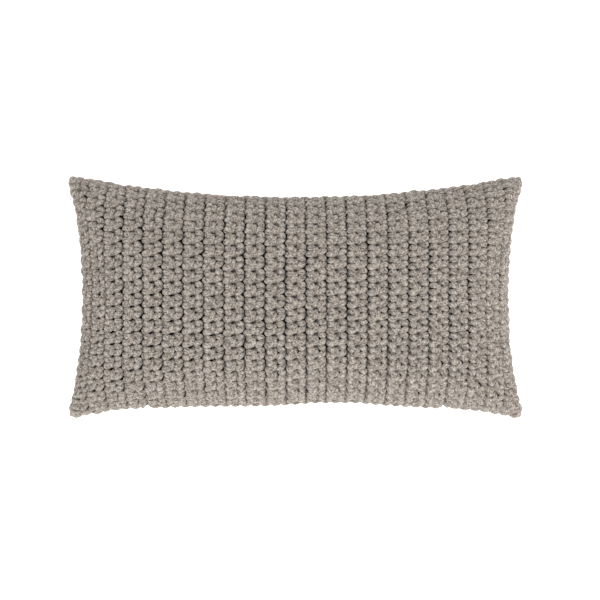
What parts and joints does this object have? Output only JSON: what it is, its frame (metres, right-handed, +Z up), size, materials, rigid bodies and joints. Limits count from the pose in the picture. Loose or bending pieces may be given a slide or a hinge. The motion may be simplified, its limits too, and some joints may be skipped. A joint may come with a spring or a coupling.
{
  "type": "throw pillow",
  "caption": "Oblong lumbar throw pillow in chunky crocheted yarn with drawn-in sides and pointed corners, a stuffed insert and a zip in one long edge.",
  "frame": {"origin": "on the surface the pillow lies on, under the middle of its bounding box", "axes": "+X along the length, towards the zip's closed end; +Y towards the long edge without the zip; +Z up, out of the front"},
  "size_m": [0.656, 0.346, 0.142],
  "materials": {
    "crochet_yarn": "chunky plied taupe-grey heather yarn, matt and slightly fuzzy",
    "seam_yarn": "the same chunky heather yarn, laid along the joined edge",
    "lining_cloth": "dark taupe plain-woven cotton",
    "sewing_thread": "spun polyester thread",
    "ticking": "off-white close-woven cotton",
    "fibre": "loose white hollow polyester fibre",
    "zip_tape": "taupe woven polyester tape",
    "zip_coil": "taupe nylon coil",
    "zip_metal": "die-cast zinc, enamelled taupe, worn at its edges"
  },
  "bodies": {
    "cover": {"crochet_front": "crochet_yarn", "crochet_back": "crochet_yarn", "seam_yarn": "seam_yarn", "lining_front": "lining_cloth", "lining_back": "lining_cloth", "lining_thread": "sewing_thread", "insert_front": "ticking", "insert_back": "ticking", "insert_thread": "sewing_thread", "insert_filling": "fibre", "zip_tape_upper": "zip_tape", "zip_tape_lower": "zip_tape", "zip_coil_upper": "zip_coil", "zip_coil_lower": "zip_coil", "zip_stitching_upper": "sewing_thread", "zip_stitching_lower": "sewing_thread", "zip_top_stops": "zip_metal", "zip_bottom_stop": "zip_metal"},
    "slider": {"zip_slider": "zip_metal"},
    "pull_tab": {"zip_pull_tab": "zip_metal"}
  },
  "joints": [
    {"name": "zip_slide", "type": "slide", "parent": "cover", "child": "slider", "axis": [-1, 0, 0], "range_m": [0, 0.3484]},
    {"name": "tab_hinge", "type": "hinge", "parent": "slider", "child": "pull_tab", "pos_m": [0.1792, -0.14974, 0.064], "axis": [0, 0, 1], "range_deg": [0, 175]}
  ]
}
